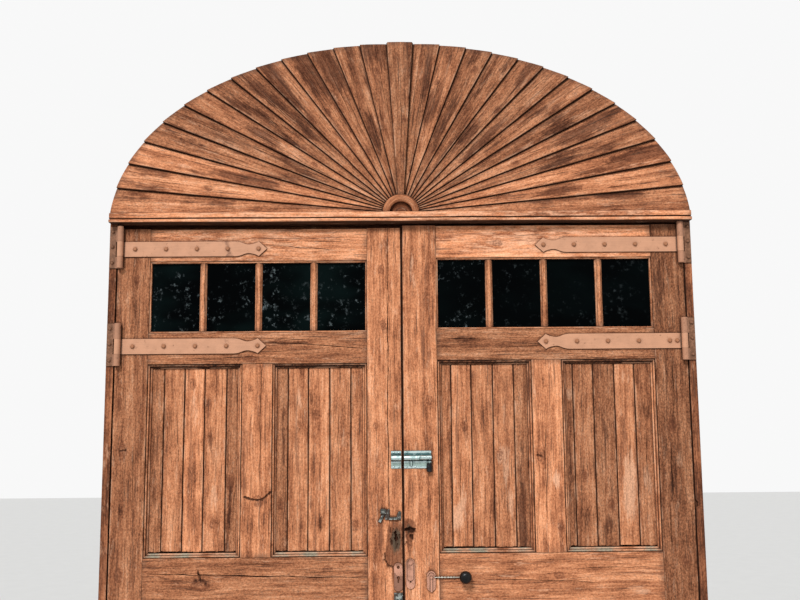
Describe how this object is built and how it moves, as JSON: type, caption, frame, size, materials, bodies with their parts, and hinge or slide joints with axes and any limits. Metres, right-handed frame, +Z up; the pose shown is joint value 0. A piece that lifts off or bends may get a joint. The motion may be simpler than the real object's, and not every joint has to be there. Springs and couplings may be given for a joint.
{
  "type": "arched double door",
  "caption": "Arched timber double door with frame: two hinged leaves with glazed tops and planked panels below a sunburst of tapered boards.",
  "frame": {"origin": "on the floor line, at the middle of the door's width and depth", "axes": "+X to the right seen from the street, +Y into the house, +Z up"},
  "size_m": [1.9922, 0.177, 2.896],
  "materials": {
    "frame_timber": "weathered brown stain",
    "head_boards": "weathered red-brown stain",
    "leaf_timber": "weathered red-brown stain",
    "panel_boards": "weathered red-brown stain",
    "strap_paint": "matt paint over steel",
    "old_hinge_paint": "worn matt paint over steel",
    "plate_paint": "worn matt paint over steel",
    "zinc": "dull zinc plate",
    "old_iron": "grey, rusted",
    "wire": "dull galvanised",
    "black_grip": "moulded, half gloss",
    "black_knob": "moulded, half gloss",
    "pane": "clear, backed by a dark room"
  },
  "bodies": {
    "frame": {"left_jamb": "frame_timber", "right_jamb": "frame_timber", "transom": "frame_timber", "transom_moulding": "frame_timber", "arch_rib": "frame_timber", "fan_boards_left": "head_boards", "fan_centre_board": "head_boards", "fan_boards_right": "head_boards", "hub_ring": "head_boards", "hub_disc": "head_boards", "left_jamb_hinges": "old_hinge_paint", "right_jamb_hinges": "old_hinge_paint"},
    "left_leaf": {"left_hinge_stile": "leaf_timber", "left_meeting_stile": "leaf_timber", "left_bottom_rail": "leaf_timber", "left_lock_rail": "leaf_timber", "left_glass_rail": "leaf_timber", "left_top_rail": "leaf_timber", "left_lower_mullion": "leaf_timber", "left_upper_mullion": "leaf_timber", "left_lower_panels": "panel_boards", "left_upper_panels": "panel_boards", "left_panel_mouldings": "leaf_timber", "left_glazing_bars": "leaf_timber", "left_glass": "pane", "left_strap_top": "strap_paint", "left_strap_middle": "strap_paint", "left_strap_bottom": "strap_paint", "left_strap_bolts": "strap_paint", "bolt_keep": "zinc", "left_lock_plate": "plate_paint", "lower_lock_plate": "old_iron", "old_latch": "old_iron"},
    "right_leaf": {"right_hinge_stile": "leaf_timber", "right_meeting_stile": "leaf_timber", "right_bottom_rail": "leaf_timber", "right_lock_rail": "leaf_timber", "right_glass_rail": "leaf_timber", "right_top_rail": "leaf_timber", "right_lower_mullion": "leaf_timber", "right_upper_mullion": "leaf_timber", "right_lower_panels": "panel_boards", "right_upper_panels": "panel_boards", "right_panel_mouldings": "leaf_timber", "right_glazing_bars": "leaf_timber", "right_glass": "pane", "right_strap_top": "strap_paint", "right_strap_middle": "strap_paint", "right_strap_bottom": "strap_paint", "right_strap_bolts": "strap_paint", "bolt_housing": "zinc", "right_lock_plate": "plate_paint", "pin_plate": "plate_paint", "pull_knob": "black_knob", "pull_wire": "wire"},
    "bolt_bar": {"bolt_rod": "zinc"},
    "bolt_turn": {"bolt_handle": "zinc", "bolt_grip": "black_grip"},
    "cover": {"lock_cover": "plate_paint"},
    "pin": {"drop_pin": "plate_paint"}
  },
  "joints": [
    {"name": "left_leaf_hinge", "type": "hinge", "parent": "frame", "child": "left_leaf", "pos_m": [-0.956, -0.0525, 1.1], "axis": [0, 0, -1], "range_deg": [0, 110]},
    {"name": "right_leaf_hinge", "type": "hinge", "parent": "frame", "child": "right_leaf", "pos_m": [0.956, -0.0525, 1.1], "axis": [0, 0, 1], "range_deg": [0, 110]},
    {"name": "bolt_slide", "type": "slide", "parent": "right_leaf", "child": "bolt_bar", "axis": [-1, 0, 0], "range_m": [0, 0.03]},
    {"name": "bolt_handle_turn", "type": "hinge", "parent": "bolt_bar", "child": "bolt_turn", "pos_m": [0.0875, -0.0525, 1.4565], "axis": [-1, 0, 0], "range_deg": [0, 90]},
    {"name": "cover_swing", "type": "hinge", "parent": "right_leaf", "child": "cover", "pos_m": [0.022, -0.045, 1.1175], "axis": [0, -1, 0], "range_deg": [-10, 100]},
    {"name": "drop_pin_swing", "type": "hinge", "parent": "right_leaf", "child": "pin", "pos_m": [0.09, -0.0452, 1.07], "axis": [0, 1, 0], "range_deg": [-45, 45]}
  ]
}
